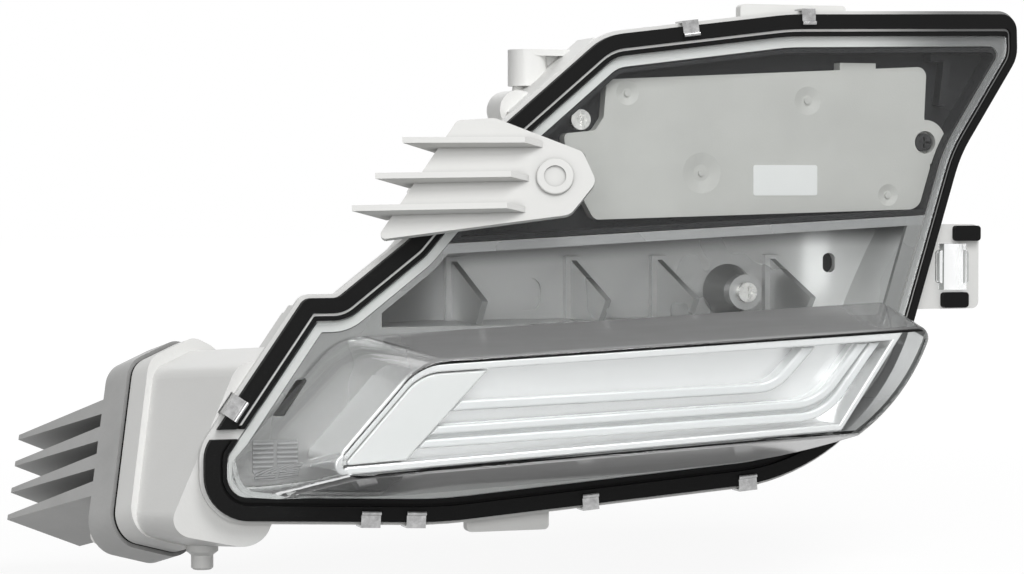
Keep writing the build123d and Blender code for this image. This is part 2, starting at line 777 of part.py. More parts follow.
# Ribbed mounting arm in front of the seal, on its web beside the rim
with BuildPart() as mounting_arm:
    with BuildSketch(web_plane):
        Polygon((flange_lip + web_gap, -reach / 4), (web_face, -reach / 4), (web_face, web_back),
                (flange_lip + web_gap, web_back), align=None)
    extrude(amount=pad_length * (web_share[1] - web_share[0]) / 2, both=True)
    split(bisect_by=arm_plane.offset(-arm_thickness / 2), keep=Keep.BOTTOM)
    with BuildSketch(arm_plane):
        add(rounded_face(arm_corners))
    extrude(amount=-arm_thickness)
    with BuildSketch(arm_plane):
        Circle(arm_disc)
    extrude(amount=arm_disc_height)
    disc_centre = arm_plane.from_local_coords((0, 0, arm_disc_height))
    fillet(mounting_arm.faces().sort_by_distance(disc_centre)[0].edges(), arm_disc_round)
    with BuildSketch(arm_plane.offset(arm_disc_height)):
        Circle(arm_dish)
    extrude(amount=-arm_dish_depth, mode=Mode.SUBTRACT)
    for start, root in zip(rib_starts, rib_roots):
        begin = arm_plane.from_local_coords((start[0], start[1], 0.0))
        run = arm_plane.from_local_coords((root[0], root[1], 0.0)) - begin
        with BuildSketch(Plane(origin=begin, x_dir=run, z_dir=run.cross(arm_normal))):
            Polygon((0, -arm_thickness / 2), (run.length - rib_overhang, -arm_thickness / 2),
                    (run.length, -rib_heel), (run.length + rib_overhang, rib_height), rib_shoulder, align=None)
        extrude(amount=rib_thickness / 2, both=True)
    for plane in arm_screw_planes:
        with BuildSketch(plane):
            Circle(screw_shank + screw_clearance)
        extrude(amount=-web_thickness, mode=Mode.SUBTRACT)
mounting_arm.part.label = "mounting_arm"
export_step(mounting_arm.part, "parts/mounting_arm.step")

with BuildPart() as arm_screws:
    for plane in arm_screw_planes:
        screw(plane, screw_shank, web_thickness + arm_screw_grip - fit, screw_head, screw_head_height)
arm_screws.part.label = "arm_screws"
export_step(arm_screws.part, "parts/arm_screws.step")

with BuildPart() as lug_bush:
    with BuildSketch(Plane.XY):
        Circle(lug_bore - bush_clearance)
        Circle(bush_bore, mode=Mode.SUBTRACT)
    extrude(amount=-lug_height)
lug_bush.part.label = "lug_bush"
export_step(lug_bush.part, "parts/lug_bush.step")

# Upper tray round the driver
with BuildPart() as upper_bezel:
    with BuildSketch(facing(tray_front)):
        add(seat_face(lens_seat + fit))
        add(half_face(lip_height + fit, lip_slope, 1), mode=Mode.INTERSECT)
    extrude(amount=tray_front - tray_back)
    with BuildSketch(facing(tray_front)):
        add(seat_face(lens_seat + fit + tray_wall))
        add(half_face(lip_height + fit + tray_wall, lip_slope, 1), mode=Mode.INTERSECT)
    extrude(amount=tray_front - tray_floor_depth, mode=Mode.SUBTRACT)
    with BuildSketch(facing(tray_floor_depth)):
        with BuildLine():
            FilletPolyline(*tray_rib_path, radius=tray_rib_bend)
        trace(line_width=tray_rib_width)
    extrude(amount=tray_rib_height)
    with BuildSketch(facing(tray_floor_depth)):
        with Locations(ear_place):
            Circle(screw_shank)
        with Locations(tray_screw_place):
            Circle(screw_shank + screw_clearance)
    extrude(amount=-tray_floor, mode=Mode.SUBTRACT)
upper_bezel.part.label = "upper_bezel"
export_step(upper_bezel.part, "parts/upper_bezel.step")

# Driver cover with its screw ear and dished dimples, hollow underneath
with BuildPart() as driver_cover:
    with BuildSketch(facing(cover_front)):
        add(rounded_face(cover_corners))
        with Locations(cover_tab_place):
            Rectangle(*cover_tab_size)
        with Locations(ear_place):
            Circle(ear_radius)
        with Locations((ear_place[0] - ear_radius, ear_place[1])):
            Rectangle(2 * ear_radius, neck_share * ear_radius)
        add(seat_face(lens_seat + tray_wall + 2 * fit), mode=Mode.INTERSECT)
    extrude(amount=-cover_height)
    with BuildSketch(facing(tray_floor_depth)) as cover_space:
        add(rounded_face(cover_corners))
        offset(amount=-cover_thickness)
        with Locations(ear_place):
            Circle(ear_radius, mode=Mode.SUBTRACT)
    extrude(amount=cover_height - cover_thickness, mode=Mode.SUBTRACT)
    for place, radius in zip(dimple_places, dimple_radii):
        with BuildSketch(facing(cover_front)):
            with Locations(place):
                Circle(radius)
        with BuildSketch(facing(cover_front + dimple_depth)):
            with Locations(place):
                Circle(radius * dimple_floor_share)
        loft(mode=Mode.SUBTRACT)
    with BuildSketch(facing(cover_front + dimple_depth)):
        with Locations(*dimple_places):
            Circle(dimple_pip)
    extrude(amount=dimple_pip_height)
    with BuildSketch(facing(cover_front)):
        with Locations(ear_place):
            Circle(ear_recess)
    extrude(amount=-ear_recess_depth, mode=Mode.SUBTRACT)
    with BuildSketch(facing(cover_front)):
        with Locations(ear_place):
            Circle(screw_shank + screw_clearance)
    extrude(amount=-cover_height, mode=Mode.SUBTRACT)
driver_cover.part.label = "driver_cover"
export_step(driver_cover.part, "parts/driver_cover.step")

with BuildPart() as cover_screw:
    ear_seat = cover_front + ear_recess_depth
    seat = facing(ear_seat).from_local_coords((ear_place[0], ear_place[1], 0.0))
    screw(Plane(origin=seat, x_dir=(1, 0, 0), z_dir=(0, -1, 0)), screw_shank, tray_back - ear_seat,
          ear_screw_head, screw_head_height)
cover_screw.part.label = "cover_screw"
export_step(cover_screw.part, "parts/cover_screw.step")

with BuildPart() as tray_screw:
    seat = facing(tray_floor_depth).from_local_coords((tray_screw_place[0], tray_screw_place[1], 0.0))
    screw(Plane(origin=seat, x_dir=(1, 0, 0), z_dir=(0, -1, 0)), screw_shank,
          tray_floor + tray_screw_grip - fit, screw_head, screw_head_height)
tray_screw.part.label = "tray_screw"
export_step(tray_screw.part, "parts/tray_screw.step")

with BuildPart() as driver_label:
    with BuildSketch(facing(cover_front)):
        with Locations(label_place):
            RectangleRounded(*label_size, label_corner)
    extrude(amount=label_thickness)
driver_label.part.label = "driver_label"
export_step(driver_label.part, "parts/driver_label.step")

# Driver board under the cover, with its parts and plug
with BuildPart() as driver_board:
    with BuildSketch(facing(tray_floor_depth)):
        with Locations(board_place):
            RectangleRounded(*board_size, board_corner)
    extrude(amount=board_thickness)
driver_board.part.label = "driver_board"
export_step(driver_board.part, "parts/driver_board.step")

board_face = tray_floor_depth - board_thickness
with BuildPart() as driver_parts:
    with BuildSketch(facing(board_face)):
        with Locations(board_place):
            with GridLocations(*part_pitch, *part_grid):
                Rectangle(*part_size)
    extrude(amount=part_height)
driver_parts.part.label = "driver_parts"
export_step(driver_parts.part, "parts/driver_parts.step")

with BuildPart() as driver_plug:
    with BuildSketch(facing(board_face)):
        with Locations(plug_place):
            Rectangle(*plug_size)
    extrude(amount=plug_height)
driver_plug.part.label = "driver_plug"
export_step(driver_plug.part, "parts/driver_plug.step")

# Inner bezel: front panel, middle pocket with gussets and boss
def pocket_front(inset):
    """The middle pocket seen from the front, moved in by inset; its ends follow the rim."""
    with BuildSketch(Plane.XY, mode=Mode.PRIVATE) as outline:
        add(seat_face(lens_seat + fit + inset))
        add(rim_face(lower_inset + wall + fit + inset), mode=Mode.INTERSECT)
        add(half_face(lip_height - lip_drop + bezel_thickness - inset, lip_slope, -1), mode=Mode.INTERSECT)
        add(half_face(pocket_bottom + inset, 0.0, 1), mode=Mode.INTERSECT)
    return outline.sketch


def pocket_plan(inset):
    """The middle pocket seen from above, moved in by inset and open in front."""
    with BuildSketch(Plane.XY, mode=Mode.PRIVATE) as outline:
        with Locations(((pocket_left + pocket_right) / 2, flange_y + pocket_depth / 2 - inset)):
            Rectangle(pocket_right - pocket_left - 2 * inset, pocket_depth)
        fillet(outline.vertices().group_by(Axis.Y)[-1], pocket_corner - inset)
    return outline.sketch


with BuildPart() as pocket_space:
    with BuildSketch(facing(pocket_depth)):
        add(pocket_front(bezel_thickness))
    extrude(amount=pocket_depth)
    with BuildSketch(Plane.XY.offset(pocket_bottom)):
        add(pocket_plan(bezel_thickness))
    extrude(amount=-pocket_bottom, mode=Mode.INTERSECT)

with BuildPart() as pocket_shell:
    with BuildSketch(facing(pocket_depth)):
        add(pocket_front(0.0))
    extrude(amount=pocket_depth - bezel_front)
    with BuildSketch(Plane.XY.offset(pocket_bottom)):
        add(pocket_plan(0.0))
    extrude(amount=-pocket_bottom, mode=Mode.INTERSECT)

with BuildPart() as inner_bezel:
    with BuildSketch(facing(bezel_front)):
        add(seat_face(lens_seat + fit))
        add(half_face(lip_height, lip_slope, -1), mode=Mode.INTERSECT)
    extrude(amount=-bezel_thickness)
    add(pocket_shell.part)
    add(pocket_space.part, mode=Mode.SUBTRACT)
    for place in gusset_places:
        with BuildSketch(Plane.YZ.offset(place)):
            Polygon((flange_y + pocket_depth - bezel_thickness / 2, gusset_top),
                    (flange_y + gusset_tip_depth, gusset_tip),
                    (flange_y + gusset_tip_depth + gusset_undercut, pocket_bottom + bezel_thickness / 2),
                    (flange_y + pocket_depth - bezel_thickness / 2, pocket_bottom + bezel_thickness / 2),
                    align=None)
        extrude(amount=gusset_thickness / 2, both=True)
    with BuildSketch(facing(pocket_depth - bezel_thickness / 2)):
        with Locations(*[(place, (gusset_top + pocket_bottom) / 2) for place in gusset_places]):
            Rectangle(gusset_bar[0], gusset_top - pocket_bottom)
    extrude(amount=gusset_bar[1])
    with BuildSketch(facing(pocket_depth - bezel_thickness)):
        with Locations(recess_place):
            RectangleRounded(*recess_size, recess_corner)
    extrude(amount=-recess_depth, mode=Mode.SUBTRACT)
    with BuildSketch(facing(pocket_depth - bezel_thickness / 2)):
        with Locations(boss_place):
            Circle(boss_foot)
    with BuildSketch(facing(boss_front + boss_straight)):
        with Locations(boss_place):
            Circle(boss_radius)
    loft()
    with BuildSketch(facing(boss_front + boss_straight)):
        with Locations(boss_place):
            Circle(boss_radius)
    extrude(amount=boss_straight)
    with BuildSketch(facing(0)):
        with Locations(boss_place):
            Circle(screw_shank + screw_clearance)
    extrude(amount=-pocket_depth, mode=Mode.SUBTRACT)
    with BuildSketch(facing(pocket_depth / 2)):
        with Locations(slot_place):
            SlotOverall(slot_height, slot_width, rotation=90)
    extrude(amount=-pocket_depth, mode=Mode.SUBTRACT)
    with BuildSketch(facing(bezel_front)) as port:
        with Locations(port_place):
            Polygon((-port_size[0] / 2 - port_lean / 2, -port_size[1] / 2),
                    (port_size[0] / 2 - port_lean / 2, -port_size[1] / 2),
                    (port_size[0] / 2 + port_lean / 2, port_size[1] / 2),
                    (-port_size[0] / 2 + port_lean / 2, port_size[1] / 2), align=None)
        fillet(port.vertices(), port_corner)
    extrude(amount=-bezel_thickness, mode=Mode.SUBTRACT)
inner_bezel.part.label = "inner_bezel"
export_step(inner_bezel.part, "parts/inner_bezel.step")

with BuildPart() as bezel_screw:
    seat = facing(boss_front).from_local_coords((boss_place[0], boss_place[1], 0.0))
    screw(Plane(origin=seat, x_dir=(1, 0, 0), z_dir=(0, -1, 0)), screw_shank,
          boss_back - wall - boss_front - fit, screw_head, screw_head_height)
bezel_screw.part.label = "bezel_screw"
export_step(bezel_screw.part, "parts/bezel_screw.step")


def optic_face(inset):
    """Outline of the optics inside the bubble, moved in by inset."""
    clear = lens_thickness + optic_gap + inset
    with BuildSketch(Plane.XY, mode=Mode.PRIVATE) as outline:
        add(drl_window(optic_front, clear))
        add(rim_face(bubble_margin + clear), mode=Mode.INTERSECT)
        add(side_face(v_top, v_low, -1, -inset), mode=Mode.INTERSECT)
    return outline.sketch


with BuildPart() as reflector:
    with BuildSketch(facing(bezel_front)):
        add(optic_face(0.0))
    extrude(amount=bezel_front - optic_front)
    with BuildSketch(facing(optic_floor_depth)):
        add(optic_face(optic_wall))
    extrude(amount=optic_floor_depth - optic_front, mode=Mode.SUBTRACT)
    with BuildSketch(facing(bezel_front)):
        add(optic_face(optic_wall))
    extrude(amount=bezel_front - optic_floor_depth - optic_floor, mode=Mode.SUBTRACT)
    fillet(reflector.faces().sort_by(Axis.Y)[0].edges(), optic_round)
reflector.part.label = "reflector"
export_step(reflector.part, "parts/reflector.step")

with BuildPart() as diffuser:
    with BuildSketch(facing(optic_floor_depth)):
        add(optic_face(optic_wall + guide_gap))
        add(side_face(diffuser_edge_top, diffuser_edge_low, -1), mode=Mode.INTERSECT)
    extrude(amount=optic_floor_depth - diffuser_front)
    fillet(diffuser.faces().sort_by(Axis.Y)[0].edges(), diffuser_round)
diffuser.part.label = "diffuser"
export_step(diffuser.part, "parts/diffuser.step")


def guide_face(path, bend, width):
    """Outline of a light guide bar that starts at the diffuser and turns up at its far end."""
    with BuildSketch(Plane.XY, mode=Mode.PRIVATE) as bar:
        with BuildLine():
            FilletPolyline(*path, radius=bend)
        trace(line_width=width)
        add(optic_face(optic_wall + guide_gap), mode=Mode.INTERSECT)
        add(side_face(diffuser_edge_top, diffuser_edge_low, 1, guide_gap), mode=Mode.INTERSECT)
    return bar.sketch


def shifted(path, shift):
    """A guide's path moved down along its bar and out along its raised end."""
    start, turn, end = path
    return [(start[0], start[1] - shift), (turn[0] + shift / 2, turn[1] - shift), (end[0] + shift, end[1])]


with BuildPart() as outer_light_guide:
    with BuildSketch(facing(optic_floor_depth)):
        add(guide_face(outer_guide_path, outer_guide_bend, outer_guide_width))
    extrude(amount=guide_base)
    for shift in (-ridge_shift, ridge_shift):
        with BuildSketch(facing(optic_floor_depth)):
            add(guide_face(shifted(outer_guide_path, shift), outer_guide_bend, ridge_width))
        extrude(amount=guide_height)
    fillet(outer_light_guide.faces().group_by(Axis.Y)[0].edges(), guide_round)
outer_light_guide.part.label = "outer_light_guide"
export_step(outer_light_guide.part, "parts/outer_light_guide.step")

with BuildPart() as inner_light_guide:
    with BuildSketch(facing(optic_floor_depth)):
        add(guide_face(inner_guide_path, inner_guide_bend, inner_guide_width))
    extrude(amount=guide_height)
    fillet(inner_light_guide.faces().sort_by(Axis.Y)[0].edges(), guide_round)
inner_light_guide.part.label = "inner_light_guide"
export_step(inner_light_guide.part, "parts/inner_light_guide.step")

flute_count = int(flute_size[1] // flute_pitch)
flute_length = (flute_size[0] - flute_column_gap) / 2
with BuildPart() as side_flutes:
    with BuildSketch(facing(bezel_front)):
        with Locations(flute_area):
            Rectangle(*flute_size)
    extrude(amount=flute_base)
    for end in (-flute_size[0] / 2, flute_size[0] / 2 - flute_length):
        with BuildSketch(Plane.YZ.offset(flute_area[0] + end)):
            with Locations((flange_y + bezel_front - flute_base, flute_area[1])):
                with GridLocations(flute_pitch, flute_pitch, 1, flute_count):
                    Circle(flute_radius)
        extrude(amount=flute_length)
side_flutes.part.label = "side_flutes"
export_step(side_flutes.part, "parts/side_flutes.step")

# Heat sink: plate with tapered fins, gasket and screws
with BuildPart() as heat_sink:
    with BuildSketch(sink_plane.offset(gasket_thickness)):
        add(drum_face(-sink_edge))
    extrude(amount=sink_plate)
    fin_start = sink_plane.from_local_coords((drum_near + sink_edge, 0, sink_face))
    fin_plane = Plane(origin=fin_start, x_dir=sink_plane.z_dir, z_dir=-sink_plane.x_dir)
    with BuildSketch(fin_plane) as fins:
        for index in range(fin_count):
            middle = fin_first - index * fin_pitch
            Polygon((-sink_plate / 2, middle - fin_root / 2), (0, middle - fin_root / 2),
                    (fin_length, middle - fin_tip / 2), (fin_length, middle + fin_tip / 2),
                    (0, middle + fin_root / 2), (-sink_plate / 2, middle + fin_root / 2), align=None)
    extrude(amount=fin_width)
    for plane in sink_screw_planes:
        with BuildSketch(plane):
            Circle(sink_screw_shank + screw_clearance)
        extrude(amount=-sink_plate, mode=Mode.SUBTRACT)
heat_sink.part.label = "heat_sink"
export_step(heat_sink.part, "parts/heat_sink.step")

with BuildPart() as sink_gasket:
    with BuildSketch(sink_plane):
        add(drum_face(0.0))
        add(drum_face(drum_inset), mode=Mode.SUBTRACT)
    extrude(amount=gasket_thickness)
    for plane in sink_screw_planes:
        with BuildSketch(plane.offset(-sink_plate)):
            Circle(sink_screw_shank + screw_clearance)
        extrude(amount=-gasket_thickness, mode=Mode.SUBTRACT)
sink_gasket.part.label = "sink_gasket"
export_step(sink_gasket.part, "parts/sink_gasket.step")

with BuildPart() as sink_screws:
    for plane in sink_screw_planes:
        screw(plane, sink_screw_shank, sink_face + sink_screw_grip - fit, sink_screw_head, screw_head_height)
sink_screws.part.label = "sink_screws"
export_step(sink_screws.part, "parts/sink_screws.step")

# Light engine on the heat sink's inner face
engine_plane = Plane(origin=sink_plane.from_local_coords((0, 0, gasket_thickness)), x_dir=sink_plane.x_dir,
                     z_dir=-sink_plane.z_dir)
with BuildPart() as thermal_pad:
    with BuildSketch(engine_plane):
        Rectangle(*led_board_size)
    extrude(amount=pad_thickness)
thermal_pad.part.label = "thermal_pad"
export_step(thermal_pad.part, "parts/thermal_pad.step")

with BuildPart() as led_board:
    with BuildSketch(engine_plane.offset(pad_thickness)):
        RectangleRounded(*led_board_size, led_board_corner)
    extrude(amount=board_thickness)
led_board.part.label = "led_board"
export_step(led_board.part, "parts/led_board.step")

led_seat = pad_thickness + board_thickness
with BuildPart() as leds:
    with BuildSketch(engine_plane.offset(led_seat)):
        with GridLocations(led_pitch, led_pitch, 1, led_count):
            Rectangle(led_size, led_size)
    extrude(amount=led_height)
leds.part.label = "leds"
export_step(leds.part, "parts/leds.step")

with BuildPart() as collimator:
    for index in range(led_count):
        along = (index - (led_count - 1) / 2) * led_pitch
        with BuildSketch(engine_plane.offset(led_seat + led_height)):
            with Locations((0, along)):
                Circle(cup_small)
        with BuildSketch(engine_plane.offset(led_seat + led_height + cup_length)):
            with Locations((0, along)):
                Circle(cup_large)
        loft()
    with BuildSketch(engine_plane.offset(led_seat + led_height + cup_length)):
        RectangleRounded(*cup_plate_size, led_board_corner)
    extrude(amount=cup_plate)
    with BuildSketch(engine_plane.offset(led_seat)):
        with GridLocations(*leg_spread, leg_rows, leg_rows):
            Circle(leg_radius)
    extrude(amount=led_height + cup_length)
collimator.part.label = "collimator"
export_step(collimator.part, "parts/collimator.step")

# Clear latch in the side catch's window, with two pads beside it
with BuildPart() as side_latch:
    with BuildSketch(facing(catch_depth + catch_thickness)):
        with Locations(window_place):
            Rectangle(catch_window[0] - fit, catch_window[1] - fit)
    extrude(amount=catch_thickness + latch_stand)
    with BuildSketch(facing(catch_depth)):
        with Locations(window_place):
            RectangleRounded(*latch_size, latch_corner)
    extrude(amount=latch_shoulder)
side_latch.part.label = "side_latch"
export_step(side_latch.part, "parts/side_latch.step")

with BuildPart() as latch_pads:
    with BuildSketch(facing(catch_depth)):
        with Locations(*latch_pad_places):
            RectangleRounded(*latch_pad_size, latch_corner)
    extrude(amount=latch_pad_height)
latch_pads.part.label = "latch_pads"
export_step(latch_pads.part, "parts/latch_pads.step")

# Rear socket with its pins, and the breather
with BuildPart() as rear_connector:
    with BuildSketch(facing(lower_depth)):
        with Locations(socket_place):
            RectangleRounded(socket_size[0] + 2 * socket_flange, socket_size[1] + 2 * socket_flange,
                             socket_corner)
    extrude(amount=-socket_flange_thickness)
    with BuildSketch(facing(pocket_depth)):
        with Locations(socket_place):
            Rectangle(socket_size[0] - 2 * fit, socket_size[1] - 2 * fit)
    extrude(amount=pocket_depth - lower_depth)
    with BuildSketch(facing(lower_depth)):
        with Locations(socket_place):
            RectangleRounded(*socket_size, socket_corner)
    extrude(amount=-socket_length)
    with BuildSketch(facing(lower_depth + socket_flange_thickness)):
        with Locations(socket_place):
            RectangleRounded(socket_size[0] - 2 * socket_wall, socket_size[1] - 2 * socket_wall,
                             socket_corner - socket_wall)
    extrude(amount=socket_flange_thickness - socket_length, mode=Mode.SUBTRACT)
    with BuildSketch(facing(pocket_depth)):
        with Locations(socket_place):
            with GridLocations(pin_pitch, pin_pitch, pin_count, 1):
                Circle(pin_radius)
    extrude(amount=-socket_length, mode=Mode.SUBTRACT)
rear_connector.part.label = "rear_connector"
export_step(rear_connector.part, "parts/rear_connector.step")

with BuildPart() as connector_pins:
    with BuildSketch(facing(pocket_depth - wall)):
        with Locations(socket_place):
            with GridLocations(pin_pitch, pin_pitch, pin_count, 1):
                Circle(pin_radius)
    extrude(amount=pocket_depth - wall - lower_depth - socket_length + socket_wall)
connector_pins.part.label = "connector_pins"
export_step(connector_pins.part, "parts/connector_pins.step")

with BuildPart() as vent_cap:
    with BuildSketch(facing(upper_depth)):
        with Locations(vent_place):
            Circle(vent_radius)
    extrude(amount=-vent_height)
    fillet(vent_cap.faces().sort_by(Axis.Y)[-1].edges(), vent_round)
    with BuildSketch(facing(upper_depth - wall)):
        with Locations(vent_place):
            Circle(vent_stem)
    extrude(amount=-wall)
vent_cap.part.label = "vent_cap"
export_step(vent_cap.part, "parts/vent_cap.step")
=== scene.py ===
import bpy
import json
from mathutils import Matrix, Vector


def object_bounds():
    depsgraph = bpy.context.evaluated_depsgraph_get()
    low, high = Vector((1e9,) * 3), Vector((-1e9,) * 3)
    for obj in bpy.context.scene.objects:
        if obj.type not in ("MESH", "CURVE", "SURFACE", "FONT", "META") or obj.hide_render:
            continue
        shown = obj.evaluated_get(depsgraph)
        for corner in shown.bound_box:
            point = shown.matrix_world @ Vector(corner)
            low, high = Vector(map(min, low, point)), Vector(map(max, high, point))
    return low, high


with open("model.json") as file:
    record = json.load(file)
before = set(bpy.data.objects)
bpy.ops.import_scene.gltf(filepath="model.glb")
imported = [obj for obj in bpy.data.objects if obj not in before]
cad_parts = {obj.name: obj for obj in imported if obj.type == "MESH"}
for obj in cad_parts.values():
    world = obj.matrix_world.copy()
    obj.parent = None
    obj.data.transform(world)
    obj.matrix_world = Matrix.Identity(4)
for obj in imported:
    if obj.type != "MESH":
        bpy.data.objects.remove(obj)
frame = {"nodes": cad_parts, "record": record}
cad_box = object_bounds()

# Lengths and places are in metres, in the frame's axes

# View of the photograph
CAMERA_TARGET = Vector((-0.014968, -0.026, -0.097015))
CAMERA_BACK = Vector((-0.308829, -0.950477, 0.034899))
CAMERA_DISTANCE = 1.15
CAMERA_LENS = 100.0
SENSOR_WIDTH = 36.0
CLIP_START, CLIP_END = 0.05, 30.0

# Floor and sky: the floor glows more with distance, so that its far edge doesn't show
FLOOR_DROP = 0.012
FLOOR_HALF = 8.0
FLOOR_BOUNCE = (0.3, 0.3, 0.3, 1.0)
FLOOR_ROUGH = 0.9
FLOOR_SEEN = (0.95, 0.95, 0.95, 1.0)
FLOOR_GLOW_SHARE = 0.84
FLOOR_GLOW_NEAR, FLOOR_GLOW_FAR = 1.03, 1.15
FLOOR_NEAR, FLOOR_FAR = 0.35, 1.6
SKY_LIGHT, SKY_SEEN = 0.25, 1.0
WHITE = (1.0, 1.0, 1.0, 1.0)

# Lamps: name, place, width and height, power in watts
AIM = Vector((0.0, 0.0, -0.10))
LAMPS = (
    ("key", Vector((0.2, -1.1, 1.1)), (0.7, 0.7), 14.0),
    ("fill", Vector((-0.5, -1.35, 0.25)), (0.8, 0.8), 9.0),
    ("rim", Vector((0.1, 0.9, 0.9)), (1.2, 0.5), 5.0),
)

# Noises: detail and roughness, after the scale where it is always the same
CLOUDS = (4.0, 0.6)
GRAIN = (2.0, 0.6)
WAVES = (2.0, 0.5)
PANEL_CLOUDS = (12.0, 3.0, 0.5)
PANEL_GRAIN = (700.0, 2.0, 0.5)
STREAKS = (30.0, 3.0, 0.6)
STREAK_STRETCH = (0.35, 1.0, 3.0)

# Middle of a noise's range, over which a colour changes, and how far roughness changes with it
CHANGE_FROM, CHANGE_TO = 0.3, 0.7
ROUGH_CHANGE = 0.06
WAVE_ROUGH = 0.03

# Inner panel's lip lies above the line z = LIP_HEIGHT + LIP_SLOPE * x; the pocket carries painted shade just
# below it
LIP_HEIGHT = -0.0812
LIP_SLOPE = 0.0515

# Inner panel's tones: the front face left of the pocket, the pocket, its right end made pale by painted light,
# the lip, and the pocket's painted shade
PANEL_FRONT = (0.31, 0.31, 0.305)
PANEL_POCKET = (0.47, 0.47, 0.465)
PANEL_END_PAINTED_LIGHT = (0.93, 0.93, 0.92)
PANEL_LIP = (0.36, 0.36, 0.36)
PANEL_SHADE = (0.10, 0.10, 0.10)
PANEL_DULL, PANEL_FULL = (0.88, 0.88, 0.88), (1.0, 1.0, 1.0)
PANEL_ROUGH = (0.22, 0.34)
PANEL_METAL, END_METAL = 0.45, 0.05
PANEL_DEPTH = 0.00001
SHADE_DROP = 0.010
POCKET_START = -0.0225
END_FROM, END_FULL = 0.105, 0.160

# Painted shadow on the housing's inner wall behind the pocket's slot, so that the slot looks dark
SEAT_CENTRE = (0.145, 0.0285, -0.0896)
SEAT_RADIUS = 0.0055
SEAT_DEPTH = 0.0297
SLOT_PAINTED_SHADOW = (0.01, 0.01, 0.01)

# Painted shade: the housing's flange face, seen through the cover, is grey along the right edge
RIM_PAINTED_SHADE = (0.2, 0.2, 0.2)
RIM_DEPTH = -0.0255
RIM_FROM, RIM_FULL = 0.13, 0.185

# Painted shade: narrow gaps and inner corners keep this share of their colour
CREVICE_SHARE = 0.3
CREVICE_SAMPLES = 8
BLACK = (0.0, 0.0, 0.0)

# Clear plastic
CLEAR_IOR = 1.5
CLEAR_PASS = 0.96
COVER_SHEEN = (0.35, 0.35, 0.35, 1.0)
LATCH_SHEEN = 0.25

# Cover's side walls carry a grey haze where they turn away from the front, least so at the two ends: partly
# frosting, partly painted shade; walls facing down carry near-white painted light
WALL_GREY = (0.31, 0.31, 0.31)
WALL_UNDER_PAINTED_LIGHT = (0.95, 0.95, 0.95)
WALL_SHARE, WALL_CHANGE = 0.86, 0.2
WALL_ROUGH = 0.14
STEEP_FROM, STEEP_FULL = 0.97, 0.80
UNDER_FROM, UNDER_FULL = -0.3, -0.8
LEFT_SHARE = 0.2
LEFT_FROM, LEFT_FULL = -0.055, -0.085
RIGHT_SHARE = 0.5
RIGHT_FROM, RIGHT_FULL = 0.115, 0.145


# Materials

class Tree:
    """A node tree with short calls, which take numbers, colours or node outputs and give node outputs."""

    def __init__(self, owner):
        owner.use_nodes = True
        self.tree = owner.node_tree
        self.tree.nodes.clear()

    def add(self, kind, **settings):
        node = self.tree.nodes.new(kind)
        for key, value in settings.items():
            setattr(node, key, value)
        return node

    def put(self, value, node, place):
        if isinstance(value, bpy.types.NodeSocket):
            self.tree.links.new(value, node.inputs[place])
        else:
            node.inputs[place].default_value = value

    def math(self, operation, *values):
        node = self.add("ShaderNodeMath", operation=operation)
        for place, value in enumerate(values):
            self.put(value, node, place)
        return node.outputs["Value"]

    def product(self, first, *others):
        for other in others:
            first = self.math("MULTIPLY", first, other)
        return first

    def axes(self, vector):
        node = self.add("ShaderNodeSeparateXYZ")
        self.put(vector, node, "Vector")
        return node.outputs["X"], node.outputs["Y"], node.outputs["Z"]

    def spread(self, value, low, high, start=0.0, end=1.0, kind="LINEAR"):
        """Value that goes from low to high while the given one goes from start to end."""
        node = self.add("ShaderNodeMapRange", interpolation_type=kind)
        self.put(value, node, "Value")
        self.put(start, node, "From Min")
        self.put(end, node, "From Max")
        self.put(low, node, "To Min")
        self.put(high, node, "To Max")
        return node.outputs["Result"]

    def smooth(self, value, start, end, low=0.0, high=1.0):
        return self.spread(value, low, high, start, end, "SMOOTHSTEP")

    def blend(self, share, first, second, kind="MIX"):
        """Colour that goes from first to second; each is a plain colour or a colour output."""
        node = self.add("ShaderNodeMix", data_type="RGBA", blend_type=kind)
        self.put(share, node, "Factor")
        for place, colour in ((6, first), (7, second)):
            self.put((*colour, 1.0) if isinstance(colour, tuple) else colour, node, place)
        return node.outputs[2]

    def mix(self, share, first, second):
        """Surface that goes from first to second."""
        node = self.add("ShaderNodeMixShader")
        for place, value in enumerate((share, first, second)):
            self.put(value, node, place)
        return node.outputs["Shader"]


class Paint(Tree):
    """A material of one main shader, with noises that follow the object."""

    def __init__(self, name):
        self.material = bpy.data.materials.new(name)
        super().__init__(self.material)
        self.output = self.add("ShaderNodeOutputMaterial")
        self.shader = self.add("ShaderNodeBsdfPrincipled")
        self.surface = self.shader.outputs["BSDF"]
        self.show(self.surface)
        self.spot = self.add("ShaderNodeTexCoord").outputs["Object"]

    def show(self, surface):
        self.put(surface, self.output, "Surface")

    def set(self, **values):
        for key, value in values.items():
            self.put(value, self.shader, key.replace("_", " "))

    def noise(self, scale, detail, roughness, stretch=None):
        node = self.add("ShaderNodeTexNoise")
        self.put(scale, node, "Scale")
        self.put(detail, node, "Detail")
        self.put(roughness, node, "Roughness")
        spot = self.spot
        if stretch:
            scaling = self.add("ShaderNodeMapping")
            self.put(stretch, scaling, "Scale")
            self.put(spot, scaling, "Vector")
            spot = scaling.outputs["Vector"]
        self.put(spot, node, "Vector")
        return node.outputs["Fac"]

    def ramp(self, noise, first, second):
        """Colour that goes from first to second over the middle of a noise's range."""
        node = self.add("ShaderNodeValToRGB")
        stops = ((CHANGE_FROM, first), (CHANGE_TO, second))
        for point, (place, colour) in zip(node.color_ramp.elements, stops):
            point.position = place
            point.color = (*colour, 1.0)
        self.put(noise, node, "Fac")
        return node.outputs["Color"]

    def bump(self, height, depth):
        node = self.add("ShaderNodeBump")
        self.put(1.0, node, "Strength")
        self.put(depth, node, "Distance")
        self.put(height, node, "Height")
        self.set(Normal=node.outputs["Normal"])


def shade(colour, share):
    return tuple(min(1.0, part * share) for part in colour)


